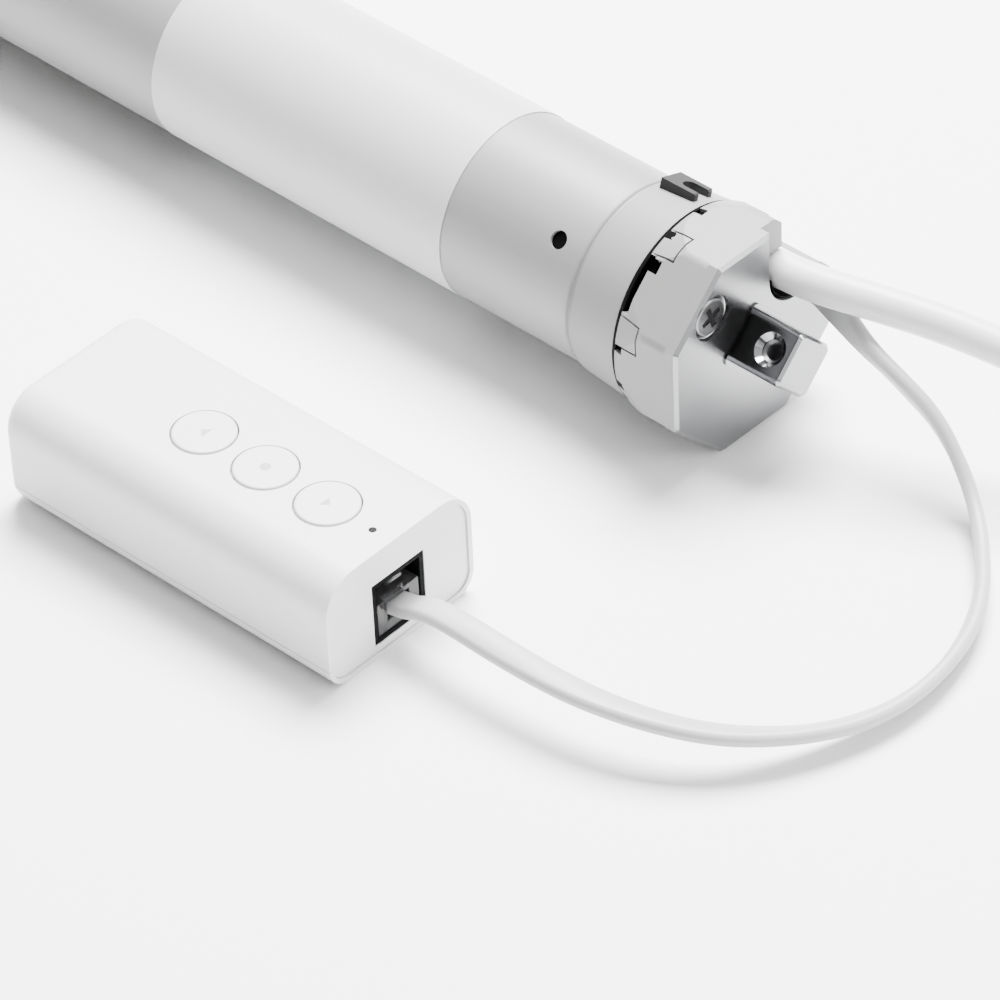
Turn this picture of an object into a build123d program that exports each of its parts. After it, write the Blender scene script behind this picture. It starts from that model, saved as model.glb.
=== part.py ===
from build123d import *
import os
from math import cos, pi, radians, sin, sqrt, tan

# A tubular roller shade motor with its wired control box, in millimetres.
# The motor lies along X and its head faces +X; Z is up and the floor is z = 0.
# Sizes below are worked on a frame whose origin is the middle of the head face.

# Motor tube and head
tube_od = 35.0
tube_wall = 1.2
tube_length = 390.0
head_beyond_tube = 2.0
plate_thickness = 2.5
plate_edge = 0.6
housing_depth = 11.5
rim_beyond_crown = 0.45
rim_taper = 7.0
plate_corner = 1.2
housing_corner = 2.5
spigot_insert = 18.0
insert_play = 0.05
cavity_radius = 11.5
cavity_floor = 1.2
spigot_step = 1.2

# Recess in the head face where both cables come out
recess_y = 4.5
recess_z = 3.7
recess_depth = 11.6
recess_corner = 6.0
recess_shelf_y = 9.9
recess_shelf_gap = 0.4

# Square stub that a bracket holds
stub_side = 10.0
stub_corner = 1.4
stub_reach = 11.0
stub_edge = 0.5
stub_collar = 0.8
stub_collar_height = 0.4
stub_flange = 0.7
stub_flange_depth = 2.0
stub_hole = 4.0
stub_hole_from_plate = 6.6
stub_countersink = 6.0

# Screws of the face plate
screw_y = -10.3
screw_z = 10.8
screw_head = 7.2
screw_head_height = 1.5
screw_shank = 3.4
screw_length = 8.5
counterbore = 8.4
counterbore_depth = 1.8
cross_length = 4.4
cross_width = 1.1
cross_depth = 1.1
cross_turn = 20.0

# Notches and the long relief on the rim of the head, by angle about X
rim_notches = (20.0, 52.0, 85.0, 171.0, 205.0, 240.0, 300.0, 335.0)
rim_notch_width = 1.7
rim_notch_depth = 1.8
rim_slot_angle = 124.5
rim_slot_width = 2.4
rim_slot_depth = 3.2
rim_relief_from = 119.0
rim_relief_to = 152.0
rim_relief_depth = 1.4
rim_relief_height = 3.0
snap_tabs = (111.5, 161.5)
snap_tab_width = 5.6
snap_tab_length = 5.2
snap_groove = 0.35
snap_groove_depth = 0.45

# Crown that turns with the shade tube, and its key
crown_width = 12.1
crown_gap = 0.45
crown_fit = 0.08
crown_front_beyond_tube = 1.4
crown_back_beyond_tube = 0.35
crown_groove = 0.5
key_length = 7.4
key_width = 5.0
key_height = 1.1
key_angle = 71.0
key_from_head = 2.25
key_slot_width = 2.6
key_slot_length = 4.4
key_seat = 0.9
magnet_count = 8
magnet_diameter = 3.0
magnet_depth = 1.0

# Pins that hold the head in the tube
pin_from_tube_end = 5.4
pin_radius = 1.6
pin_play = 0.05
pin_angle = 136.0
pin_length = 3.6
pin_recess = 0.6

# Bare label on the tube
label_from_tube_end = 29.0
label_length = 70.5
label_thickness = 0.12
label_play = 0.03
label_seam = 24.0
label_angle = 140.0

# Driver electronics behind the head
sleeve_gap = 2.0
sleeve_length = 138.0
sleeve_wall = 0.9
driver_board_length = 126.0
driver_board_thickness = 1.6
driver_board_drop = 3.0
driver_board_play = 0.1
driver_part_sizes = ((12, 20, 8), (12, 14, 9), (14, 16, 9), (18, 18, 11))
capacitor_diameter = 16.0
capacitor_length = 46.0
capacitor_place = 3
encoder_board_play = 0.3
encoder_board_thickness = 1.2
encoder_board_depth = 5.0

# Brake
brake_gap = 4.0
brake_coil_length = 18.0
brake_bore = 8.0
brake_skirt = 11.0
brake_skirt_wall = 3.0
armature_play = 0.3
armature_thickness = 2.0
armature_travel = 0.4
brake_disc_thickness = 3.0
brake_disc_radius = 12.0
brake_air = 0.15

# Electric motor
shield_thickness = 8.0
shield_gap = 2.0
stator_bore = 18.8
air_gap = 0.4
winding_length = 11.0
winding_outer = 28.0
winding_inner = 20.4
winding_round = 1.6
end_ring_length = 4.0
end_ring_step = 1.2
shaft_diameter = 6.0
shaft_tip_diameter = 3.0
bearing_diameter = 17.0
bearing_width = 6.0
bearing_shoulder = 2.5
bearing_fit = 0.03
race_width = 2.0
race_groove = 0.4

# Planetary gears, two equal stages
gear_module = 0.55
sun_teeth = 12
planet_teeth = 18
planet_count = 3
gear_width = 10.0
tooth_share = 0.34
tip_share = 0.18
addendum_share = 0.8
dedendum_share = 1.15
gear_gap = 0.5
carrier_thickness = 3.0
carrier_play = 0.5
planet_pin_radius = 1.3
planet_pin_fit = 0.05
gearbox_gap = 2.0
gearbox_lead = 5.0
gearbox_tail = 1.5

# Output shaft and drive wheel
output_carrier_thickness = 5.0
output_shaft_diameter = 12.0
output_shaft_flats = 10.0
output_fit = 0.05
bush_length = 37.0
bush_flange = 3.0
shaft_stick_out = 28.0
wheel_width = 22.0
wheel_gap = 1.0
wheel_rim = 2.6
wheel_hub_radius = 10.0
wheel_spokes = 6
wheel_spoke_width = 2.4
wheel_web = 9.0
wheel_fit = 0.05
wheel_grooves = 4
wheel_groove_width = 4.0
wheel_groove_depth = 1.2
clip_thickness = 1.0
clip_radius = 8.0
clip_gap = 0.1
clip_mouth = 7.0
clip_groove_depth = 1.4

# Control box, measured from the motor axis and turned about the middle of its front edge
box_length = 74.5
box_width = 34.2
box_height = 22.0
box_setback = 8.0
box_middle_y = -77.3
box_turn = 0.9
box_wall = 1.6
box_top_radius = 7.0
box_bottom_radius = 4.5
box_end_radius = 2.2
box_parting = 4.2
parting_gap = 0.15
lip_height = 1.4
lip_thickness = 0.7
lip_play = 0.1
end_cap_thickness = 2.0
end_cap_inset = 0.9
end_cap_recess = 0.4
end_cap_play = 0.1

# Buttons of the control box
button_diameter = 11.0
button_pitch = 14.0
button_first = 14.3
button_row_shift = -1.2
button_play = 0.3
button_proud = 0.25
button_round = 0.4
button_flange = 0.9
button_flange_height = 0.8
button_flange_gap = 0.1
button_stem = 3.0
light_from_front = 4.3
light_diameter = 1.3
light_play = 0.05

# Circuit board of the control box
board_length = 58.0
board_width = 26.0
board_thickness = 1.6
board_from_cap = 0.6
switch_side = 6.0
switch_height = 1.2
switch_bore_play = 0.2
switch_bore_depth = 1.0
stem_in_switch = 0.2
boss_radius = 2.2
boss_inset = 3.0
screw_boss_radius = 3.2
screw_boss_from_end = 6.2
screw_boss_y = 9.0
boss_gap = 0.3
case_screw_shank = 2.4
case_screw_head = 4.4
case_screw_head_height = 1.6
case_screw_length = 9.0
case_screw_play = 0.2

# Network style jack and its plug
jack_width = 12.0
jack_height = 12.6
jack_wall = 0.9
jack_depth = 15.0
jack_clearance = 0.9
jack_play = 0.1
plug_width = 9.6
plug_height = 6.6
plug_length = 12.0
plug_play = 0.1
plug_set_in = 0.7
latch_width = 3.2
latch_thickness = 0.7
latch_rise = 2.8
latch_length = 11.4
entry_width = 5.4
entry_height = 3.8
entry_depth = 1.5
entry_rise = 0.5
entry_lead = 1.7
contact_count = 4
contact_pitch = 1.02
contact_width = 0.45
contact_depth = 0.9
contact_length = 4.0

# Cable clamp in the recess
clamp_depth = 3.6
clamp_play = 0.1
clamp_edge = 1.2

# Cables, each with its place at the clamp
power_cable_diameter = 6.5
power_cable_y = 8.5
power_cable_z = 9.1
data_cable_diameter = 3.4
data_cable_y = 12.7
data_cable_z = 5.9

# Routes of the cables between their ends, point by point
power_route = (
    (0.5, 8.5, 9.1),
    (7.5, 9.8, 9.1),
    (15.5, 12.3, 8.8),
    (27.8, 17.0, 7.3),
    (42.5, 22.5, 3.6),
    (56.0, 26.5, -2.2),
    (69.0, 29.5, -9.2),
    (83.0, 31.5, -14.9),
    (97.0, 32.0, -16.25),
)
data_route = (
    (0.5, 12.7, 5.9),
    (9.0, 11.3, 3.7),
    (17.0, 9.1, 1.8),
    (25.0, 8.5, -0.8),
    (32.3, 8.9, -5.2),
    (38.4, 8.0, -11.2),
    (44.2, 4.9, -15.6),
    (51.0, -1.6, -16.9),
    (57.3, -9.2, -16.9),
    (62.2, -18.2, -16.9),
    (65.0, -29.0, -16.9),
    (64.8, -40.0, -16.8),
    (62.0, -49.8, -16.0),
    (57.2, -58.8, -14.4),
    (50.0, -67.3, -12.4),
    (40.0, -73.0, -10.8),
    (28.5, -76.0, -10.0),
    (15.5, -76.95, -9.7),
    (4.0, -77.1, -9.5),
    (-2.4, -77.2, -10.2),
)
bend_share = 0.45

# Coil of the supply cable and its bare wires
coil_lead = 10.0
coil_radius = 40.0
coil_layers = 4
coil_half_turns = 2
coil_gap = 0.5
wire_diameter = 2.2
wire_spread = 1.35
wire_length = 34.0
ferrule_diameter = 1.3
ferrule_length = 8.0

# Places that follow from the sizes
head_across_flats = tube_od + 2 * head_beyond_tube
axis_height = head_across_flats / 2
crown_front_radius = tube_od / 2 + crown_front_beyond_tube
crown_back_radius = tube_od / 2 + crown_back_beyond_tube
rim_radius = crown_front_radius + rim_beyond_crown
housing_back = -plate_thickness - housing_depth
crown_front = housing_back - crown_gap
crown_back = crown_front - crown_width
tube_front = crown_back - crown_gap
tube_back = tube_front - tube_length
tube_inner = tube_od / 2 - tube_wall
insert_radius = tube_inner - insert_play
spigot_radius = insert_radius - spigot_step
insert_back = tube_front - spigot_insert
sleeve_front = insert_back - sleeve_gap
brake_front = sleeve_front - sleeve_length - brake_gap
armature_front = brake_front - brake_coil_length - armature_travel - brake_air
disc_front = armature_front - armature_thickness - brake_air
bush_front = tube_back + bush_length
output_front = bush_front + gearbox_tail + output_carrier_thickness
second_stage = output_front + gear_gap + gear_width
stage_fronts = (second_stage + 2 * gear_gap + gear_width + carrier_thickness, second_stage)
gearbox_front = stage_fronts[0] + gearbox_lead
ring_teeth = sun_teeth + 2 * planet_teeth
orbit = gear_module * (sun_teeth + planet_teeth) / 2
rear_shield = brake_front - brake_coil_length - brake_skirt - shield_gap
front_shield = gearbox_front + gearbox_gap + shield_thickness
stator_front = rear_shield - shield_thickness - shield_gap - winding_length
stator_back = front_shield + shield_gap + winding_length
rotor_radius = stator_bore / 2 - air_gap
shaft_tip = tube_back - bush_flange - shaft_stick_out
wheel_front = tube_back - bush_flange - wheel_gap
wheel_back = wheel_front - wheel_width
clip_front = wheel_back - clip_gap
box_front = -box_setback
box_back = box_front - box_length
box_floor = -axis_height
box_top = box_floor + box_height
box_middle_x = (box_front + box_back) / 2
parting = box_floor + box_parting
cap_front = box_front - end_cap_recess
cap_back = cap_front - end_cap_thickness
jack_front = cap_front - jack_play
jack_bottom = box_floor + box_wall + jack_clearance
board_bottom = jack_bottom + jack_height
board_top = board_bottom + board_thickness
board_front = cap_back - board_from_cap
button_row_y = box_middle_y + button_row_shift
plug_front = box_front - plug_set_in
plug_floor = jack_bottom + jack_wall + plug_play
entry_middle = plug_floor + plug_height / 2 + entry_rise
clamp_front = -recess_depth + clamp_depth
shelf_bottom = power_cable_z + power_cable_diameter / 2 + recess_shelf_gap
coil_pitch = power_cable_diameter + coil_gap

def across(x, y=0.0, z=0.0):
    """The plane that faces +X at x, with Y to the right and Z up."""
    return Plane(origin=(x, y, z), x_dir=(0, 1, 0), z_dir=(1, 0, 0))


def rod(front, back, radius, bore=0.0, y=0.0, z=0.0):
    """A round bar or tube along X, from its front down to its back."""
    section = Circle(radius) - Circle(bore) if bore else Circle(radius)
    return extrude(across(back, y, z) * section, front - back)


def turned(points):
    """A solid turned about the motor axis from its outline of x and radius."""
    outline = Polyline(*[(x, 0, r) for x, r in points], close=True)
    return revolve(make_face(outline), Axis.X)


def at_angle(angle, radius, x):
    """A plane on the cylinder of that radius, facing outwards, with its x along X."""
    a = radians(angle)
    out = (0, cos(a), sin(a))
    return Plane(origin=(x, radius * out[1], radius * out[2]), x_dir=(1, 0, 0), z_dir=out)


def block(length, width, height, x=0.0, y=0.0, z=0.0):
    """A box that is centred on x and y and stands on z."""
    return Pos(x, y, z + height / 2) * Box(length, width, height)


def octagon(across_flats, corner=0.0):
    """A regular octagon that stands on a flat, with its corners rounded."""
    shape = RegularPolygon(across_flats / 2, 8, major_radius=False, rotation=22.5)
    return fillet(shape.vertices(), corner) if corner else shape


def recess_cutter(front, back):
    """The open corner of the head face, with a round inner corner."""
    far = head_across_flats
    shape = Pos(recess_y + far / 2, recess_z + far / 2) * Rectangle(far, far)
    inner = shape.vertices().sort_by_distance((recess_y, recess_z, 0))[0]
    shape = fillet(inner, recess_corner)
    return extrude(across(back) * shape, front - back)


def recess_shelf():
    """The part of the open corner that the plastic head keeps, above the supply cable."""
    far = head_across_flats
    front = -plate_thickness
    return Pos(front, recess_shelf_y, shelf_bottom) * Box(far, far, far, align=(Align.MAX, Align.MAX, Align.MIN))


def stub_section(extra=0.0):
    """The square of the stub, stood on its corner, grown by extra on each side."""
    side = stub_side + 2 * extra
    square = Rectangle(side, side, rotation=45)
    return fillet(square.vertices(), stub_corner)


def screw_places():
    return ((screw_y, screw_z), (-screw_y, -screw_z))


def face_plate():
    """The polished octagonal plate, with its recess, screw seats and square hole."""
    section = octagon(head_across_flats, plate_corner)
    plate = extrude(across(-plate_thickness) * section, plate_thickness)
    plate -= recess_cutter(plate_edge, -2 * plate_thickness)
    rim = plate.faces().sort_by(Axis.X)[-1].outer_wire().edges()
    plate = chamfer(rim, plate_edge)
    plate -= extrude(across(-plate_thickness) * stub_section(), plate_thickness)
    for y, z in screw_places():
        plate -= rod(0, -counterbore_depth, counterbore / 2, y=y, z=z)
        plate -= rod(0, -plate_thickness, screw_shank / 2, y=y, z=z)
    return plate


def square_stub():
    """The square bar with its flange, its staked collar and its cross hole."""
    flange_back = -plate_thickness - stub_flange_depth
    stub = extrude(across(flange_back) * stub_section(), stub_reach - flange_back)
    stub = chamfer(stub.faces().sort_by(Axis.X)[-1].edges(), stub_edge)
    stub += extrude(across(flange_back) * stub_section(stub_flange), stub_flange_depth)
    stub += extrude(across(0) * stub_section(stub_collar), stub_collar_height)
    depth = (stub_countersink - stub_hole) / 2
    cone = Cone(stub_hole / 2, stub_countersink / 2, depth)
    for angle in (135, -45):
        face = at_angle(angle, stub_side / 2, stub_hole_from_plate)
        stub -= extrude(face * Circle(stub_hole / 2), -stub_side)
        stub -= face * Pos(0, 0, -depth / 2) * cone
    return stub


def plate_screws():
    """Two cross-head screws, each seated at the bottom of its counterbore."""
    seat = -counterbore_depth
    top = seat + screw_head_height
    screws = []
    for y, z in screw_places():
        head = rod(top, seat, screw_head / 2, y=y, z=z)
        screw = fillet(head.edges().sort_by(Axis.X)[-1], screw_head_height / 3)
        screw += rod(seat, seat - screw_length, screw_shank / 2, y=y, z=z)
        for turn in (cross_turn, cross_turn + 90):
            slot = Rectangle(cross_length, cross_width, rotation=turn)
            screw -= extrude(across(top - cross_depth, y, z) * slot, cross_depth)
        screws.append(screw)
    return screws


def head_housing():
    """The plastic head: octagon in front, round rim behind, spigot and tube insert."""
    corner = head_across_flats / 2 / cos(radians(22.5))
    section = octagon(head_across_flats, housing_corner)
    head = extrude(across(housing_back) * section, housing_depth)
    head &= turned(
        [
            (housing_back, 0),
            (housing_back, rim_radius),
            (housing_back + rim_taper, corner),
            (-plate_thickness, corner),
            (-plate_thickness, 0),
        ]
    )
    head += rod(housing_back, tube_front, spigot_radius)
    head += rod(tube_front, insert_back, insert_radius)
    head -= rod(-recess_depth - cavity_floor, insert_back, cavity_radius)
    pocket = across(-plate_thickness - stub_flange_depth) * stub_section(stub_flange)
    head -= extrude(pocket, stub_flange_depth)
    head -= recess_cutter(0, -recess_depth) - recess_shelf()
    for y, z in screw_places():
        head -= rod(0, -counterbore_depth - screw_length, screw_shank / 2, y=y, z=z)
    for angle in rim_notches:
        head -= rim_cut(angle, rim_notch_width, rim_notch_depth)
    head -= rim_cut(rim_slot_angle, rim_slot_width, rim_slot_depth)
    head -= rim_relief()
    for angle in snap_tabs:
        head -= snap_outline(angle)
    for turn in (0, 180):
        head -= pin_hole(pin_angle + turn, pin_radius)
    return head


def rim_cut(angle, width, depth):
    """A notch in the rear rim of the head, open to the crown and outwards."""
    bottom = at_angle(angle, rim_radius - rim_relief_height, housing_back + depth / 2)
    height = 2 * rim_relief_height
    return bottom * Pos(0, 0, height / 2) * Box(depth, width, height)


def rim_relief():
    """The long shallow cut round part of the rear rim."""
    inner = rim_radius - rim_relief_height
    outer = rim_radius + rim_relief_height
    ring = rod(housing_back + rim_relief_depth, housing_back, outer, inner)
    low = radians(rim_relief_from)
    high = radians(rim_relief_to)
    reach = 2 * outer
    far = [(reach * cos(a), reach * sin(a)) for a in (low, (low + high) / 2, high)]
    wedge = make_face(Polyline((0, 0), *far, close=True))
    return ring & extrude(across(housing_back) * wedge, rim_relief_depth)


def snap_outline(angle):
    """A thin groove round three sides of a snap tab on the head."""
    length = snap_tab_length
    floor = at_angle(angle, rim_radius - snap_groove_depth, housing_back)
    outer = Pos(length / 2, 0) * Rectangle(length, snap_tab_width)
    inner_length = length - snap_groove
    inner = Pos(inner_length / 2, 0) * Rectangle(inner_length, snap_tab_width - 2 * snap_groove)
    return extrude(floor * (outer - inner), rim_relief_height)


def pin_place(angle):
    """The inner end of a pin, on a plane that faces outwards."""
    inner_end = tube_od / 2 - pin_recess - pin_length
    return at_angle(angle, inner_end, tube_front - pin_from_tube_end)


def pin_hole(angle, radius):
    return extrude(pin_place(angle) * Circle(radius), pin_length + 2 * pin_recess)


def tube_pins():
    """Two pins that hold the head in the tube, set a little below its surface."""
    return [extrude(pin_place(pin_angle + turn) * Circle(pin_radius), pin_length) for turn in (0, 180)]


def cable_clamp():
    """The block at the bottom of the recess that both cables come out of."""
    room = Pos(0, clamp_play, clamp_play) * recess_cutter(clamp_front, -recess_depth)
    limit = across(-recess_depth) * octagon(head_across_flats - 2 * clamp_edge)
    width = 2 * (data_cable_y + data_cable_diameter / 2 + clamp_edge)
    height = 2 * (shelf_bottom - clamp_play)
    return room & extrude(limit, clamp_depth) & Box(4 * recess_depth, width, height)


def motor_tube():
    tube = rod(tube_front, tube_back, tube_od / 2, tube_inner)
    for turn in (0, 180):
        tube -= pin_hole(pin_angle + turn, pin_radius + pin_play)
    return tube


def tube_label():
    """A bare label wrapped round the tube, open at a seam on its far side."""
    front = tube_front - label_from_tube_end
    inner = tube_od / 2 + label_play
    skin = rod(front, front - label_length, inner + label_thickness, inner)
    seam = at_angle(label_angle - 180, tube_od / 2, front - label_length / 2)
    return skin - seam * Box(label_length, label_seam, tube_wall)


def magnet_places():
    middle = (spigot_radius + crown_front_radius) / 2
    step = 2 * pi / magnet_count
    return [(middle * cos(step * i), middle * sin(step * i)) for i in range(magnet_count)]


def encoder_magnets():
    back = crown_front - magnet_depth
    return [rod(crown_front, back, magnet_diameter / 2, y=y, z=z) for y, z in magnet_places()]


def crown_ring():
    """The free-running crown: a tapered ring with a groove at its tube end."""
    bore = spigot_radius + crown_fit
    back = crown_back
    half = crown_groove / 2
    ring = turned(
        [
            (crown_front, bore),
            (crown_front, crown_front_radius - crown_groove),
            (crown_front - crown_groove, crown_front_radius),
            (back + 6 * half, crown_back_radius + half),
            (back + 4 * half, crown_back_radius - half),
            (back + 2 * half, crown_back_radius - half),
            (back + half, crown_back_radius),
            (back, crown_back_radius - half),
            (back, bore),
        ]
    )
    for magnet in encoder_magnets():
        ring -= magnet
    return ring - crown_key()


def key_block(top):
    """The key before it is shaped, from its seat in the crown up to a radius."""
    bottom = crown_front_radius - key_seat
    middle = crown_front - key_from_head - key_length / 2
    height = top - bottom
    return at_angle(key_angle, bottom + height / 2, middle) * Box(key_length, key_width, height)


def crown_key():
    """The dark key on the crown, with an arched slot right through, open towards the head."""
    top = crown_front_radius + key_height
    face = at_angle(key_angle, top, crown_front - key_from_head)
    upper = key_block(top).faces().sort_by_distance(face.origin + face.z_dir)[0]
    key = chamfer(upper.edges(), key_height / 4)
    straight = key_slot_length - key_slot_width / 2
    slot = Pos(-straight / 2, 0) * Rectangle(straight, key_slot_width)
    slot += Pos(-straight, 0) * Circle(key_slot_width / 2)
    return key - extrude(face * slot, -key_height - key_seat)


def encoder_board():
    front = -recess_depth - cavity_floor - encoder_board_depth
    return rod(front, front - encoder_board_thickness, cavity_radius - encoder_board_play)


def electronics_sleeve():
    return rod(sleeve_front, sleeve_front - sleeve_length, insert_radius, insert_radius - sleeve_wall)


def driver_row():
    """Where the parts along the driver board start, spread evenly from its front."""
    lengths = [length for length, width, height in driver_part_sizes]
    lengths.insert(capacitor_place, capacitor_length)
    gap = (driver_board_length - sum(lengths)) / (len(lengths) + 1)
    front = sleeve_front - (sleeve_length - driver_board_length) / 2
    return [front - gap * (i + 1) - sum(lengths[:i]) for i in range(len(lengths))]


def driver_board():
    """The long board, held at its edges by the insulating sleeve, and its parts."""
    inner = insert_radius - sleeve_wall
    low = driver_board_drop + driver_board_thickness
    half = sqrt(inner**2 - low**2) - driver_board_play
    middle = sleeve_front - sleeve_length / 2
    board = block(driver_board_length, 2 * half, driver_board_thickness, middle, 0, -low)
    starts = driver_row()
    starts.pop(capacitor_place)
    parts = []
    for (length, width, height), start in zip(driver_part_sizes, starts):
        parts.append(block(length, width, height, start - length / 2, 0, -driver_board_drop))
    return [board, *parts]


def run_capacitor():
    front = driver_row()[capacitor_place]
    height = capacitor_diameter / 2 - driver_board_drop
    return rod(front, front - capacitor_length, capacitor_diameter / 2, z=height)


def brake_coil():
    """The brake magnet with the skirt that its armature slides in."""
    back = brake_front - brake_coil_length
    coil = rod(brake_front, back, insert_radius, brake_bore / 2)
    return coil + rod(back, back - brake_skirt, insert_radius, insert_radius - brake_skirt_wall)


def brake_armature():
    radius = insert_radius - brake_skirt_wall - armature_play
    return rod(armature_front, armature_front - armature_thickness, radius, brake_bore / 2)


def brake_disc():
    return rod(disc_front, disc_front - brake_disc_thickness, brake_disc_radius, shaft_diameter / 2)


def end_shield(front, bearing_front):
    """A disc that fills the tube and holds one bearing."""
    shield = rod(front, front - shield_thickness, insert_radius)
    shield -= rod(front, front - shield_thickness, bearing_diameter / 2 - bearing_shoulder)
    return shield - rod(bearing_front, bearing_front - bearing_width, bearing_diameter / 2)


def bearing(front):
    """A ball bearing, with a shallow groove between its races on both faces."""
    outer = bearing_diameter / 2
    bore = shaft_diameter / 2 + bearing_fit
    ring = rod(front, front - bearing_width, outer, bore)
    for face in (front, front - bearing_width + race_groove):
        ring -= rod(face, face - race_groove, outer - race_width, bore + race_width)
    return ring


def rear_bearing_front():
    return rear_shield - shield_thickness + bearing_width


def stator_core():
    return rod(stator_front, stator_back, insert_radius, stator_bore / 2)


def stator_windings():
    """The two heads of the winding, in front of and behind the core."""
    heads = []
    for front in (stator_front + winding_length, stator_back):
        head = rod(front, front - winding_length, winding_outer / 2, winding_inner / 2)
        rims = head.edges().filter_by(GeomType.CIRCLE)
        heads.append(fillet(rims, winding_round))
    return heads


def rotor_core():
    """The rotor body with a stepped end ring at each end."""
    core = rod(stator_front, stator_back, rotor_radius, shaft_diameter / 2)
    ring = rotor_radius - end_ring_step
    core += rod(stator_front + end_ring_length, stator_front, ring, shaft_diameter / 2)
    return core + rod(stator_back, stator_back - end_ring_length, ring, shaft_diameter / 2)


def rotor_shaft():
    """The shaft from the brake disc to the first sun gear, thinner in the gear."""
    shoulder = front_shield - shield_thickness
    shaft = rod(disc_front, shoulder, shaft_diameter / 2)
    return shaft + rod(shoulder, stage_fronts[0] - gear_width, shaft_tip_diameter / 2)


def gear_face(teeth, turn=0.0, inward=False):
    """The outline of a gear with straight-sided teeth, one of them at the turn angle."""
    pitch = gear_module * teeth / 2
    way = -1 if inward else 1
    tip = pitch + way * addendum_share * gear_module
    root = pitch - way * dedendum_share * gear_module
    root_share = tooth_share + (tooth_share - tip_share) * dedendum_share / addendum_share
    step = 2 * pi / teeth
    points = []
    for i in range(teeth):
        middle = radians(turn) + step * i
        for radius, share in ((root, -root_share), (tip, -tip_share), (tip, tip_share), (root, root_share)):
            angle = middle + step * share / 2
            points.append((radius * cos(angle), radius * sin(angle)))
    return make_face(Polyline(*points, close=True))


def sun_gear():
    back = stage_fronts[0] - gear_width
    face = gear_face(sun_teeth) - Circle(shaft_tip_diameter / 2)
    return extrude(across(back) * face, gear_width)


def planet_places():
    step = 2 * pi / planet_count
    return [(orbit * cos(step * k), orbit * sin(step * k)) for k in range(planet_count)]


def planet_gear(stage, number):
    """One planet, turned by half a tooth so that it meshes with sun and ring."""
    y, z = planet_places()[number]
    face = gear_face(planet_teeth, turn=180 / planet_teeth)
    face -= Circle(planet_pin_radius + planet_pin_fit)
    return extrude(across(stage_fronts[stage] - gear_width, y, z) * face, gear_width)


def planet_carrier(stage, thickness):
    """A carrier disc behind its planets, with a pin through each of them."""
    front = stage_fronts[stage] - gear_width - gear_gap
    ring_tip = gear_module * (ring_teeth / 2 - addendum_share)
    carrier = rod(front, front - thickness, ring_tip - carrier_play)
    for y, z in planet_places():
        carrier += rod(stage_fronts[stage], front, planet_pin_radius, y=y, z=z)
    return carrier


def first_carrier():
    """The first carrier, in one piece with the second sun gear."""
    back = stage_fronts[1] - gear_width
    length = gear_width + gear_gap
    return planet_carrier(0, carrier_thickness) + extrude(across(back) * gear_face(sun_teeth), length)


def gearbox_housing():
    """The sleeve with the ring teeth that both stages run in."""
    section = Circle(insert_radius) - gear_face(ring_teeth, inward=True)
    return extrude(across(bush_front) * section, gearbox_front - bush_front)


def shaft_section(play=0.0):
    """The round shaft with two flats."""
    flats = output_shaft_flats + 2 * play
    return Circle(output_shaft_diameter / 2 + play) & Rectangle(2 * output_shaft_diameter, flats)


def output_carrier():
    """The second carrier with the output shaft: round in the bush, then with flats."""
    shaft_start = output_front - output_carrier_thickness
    carrier = planet_carrier(1, output_carrier_thickness)
    carrier += rod(shaft_start, wheel_front, output_shaft_diameter / 2)
    carrier += extrude(across(shaft_tip) * shaft_section(), wheel_front - shaft_tip)
    outer = output_shaft_diameter / 2
    return carrier - rod(clip_front, clip_front - clip_thickness, outer, outer - clip_groove_depth)


def output_bush():
    """The bush that carries the output shaft and closes the tube with its flange."""
    bore = output_shaft_diameter / 2 + output_fit
    bush = rod(bush_front, tube_back, insert_radius, bore)
    return bush + rod(tube_back, tube_back - bush_flange, tube_od / 2, bore)


def drive_wheel():
    """The spoked wheel that turns the shade tube, with grooves across its rim."""
    outer = axis_height
    wheel = rod(wheel_front, wheel_back, outer, outer - wheel_rim)
    wheel += rod(wheel_front, wheel_back, wheel_hub_radius)
    middle = (wheel_front + wheel_back) / 2
    length = outer - wheel_rim / 2
    spoke = Pos(middle, length / 2, 0) * Box(wheel_web, length, wheel_spoke_width)
    for i in range(wheel_spokes):
        wheel += Rot(X=360 / wheel_spokes * i) * spoke
    for i in range(wheel_grooves):
        side = at_angle(360 / wheel_grooves * (i + 0.5), outer, middle)
        wheel -= side * Box(wheel_width, wheel_groove_width, 2 * wheel_groove_depth)
    return wheel - extrude(across(wheel_back) * shaft_section(wheel_fit), wheel_width)


def wheel_clip():
    """The open clip in the groove of the shaft that keeps the wheel on."""
    bore = output_shaft_diameter / 2 - clip_groove_depth + wheel_fit
    clip = rod(clip_front, clip_front - clip_thickness, clip_radius, bore)
    mouth = Pos(clip_front - clip_thickness / 2, 0, clip_radius / 2)
    return clip - mouth * Box(clip_thickness, clip_mouth, clip_radius)


def box_section(inset=0.0):
    """The end view of the control box, drawn in by inset on every side."""
    side = box_width - 2 * inset
    height = box_height - 2 * inset
    shape = Rectangle(side, height)
    top = shape.vertices().group_by(Axis.Y)[-1]
    shape = fillet(top, box_top_radius - inset)
    bottom = shape.vertices().group_by(Axis.Y)[0]
    return fillet(bottom, box_bottom_radius - inset)


def box_bar(front, back, inset=0.0):
    """A bar of the section of the box."""
    middle_z = box_floor + box_height / 2
    return extrude(across(back, box_middle_y, middle_z) * box_section(inset), front - back)


def case_form():
    """The outside of the box with its rounded back end, hollow and open in front."""
    form = box_bar(box_front, box_back)
    form = fillet(form.faces().sort_by(Axis.X)[0].edges(), box_end_radius)
    form -= box_bar(box_front, box_back + box_wall, box_wall)
    return form - box_bar(box_front, cap_back, end_cap_inset)


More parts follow.
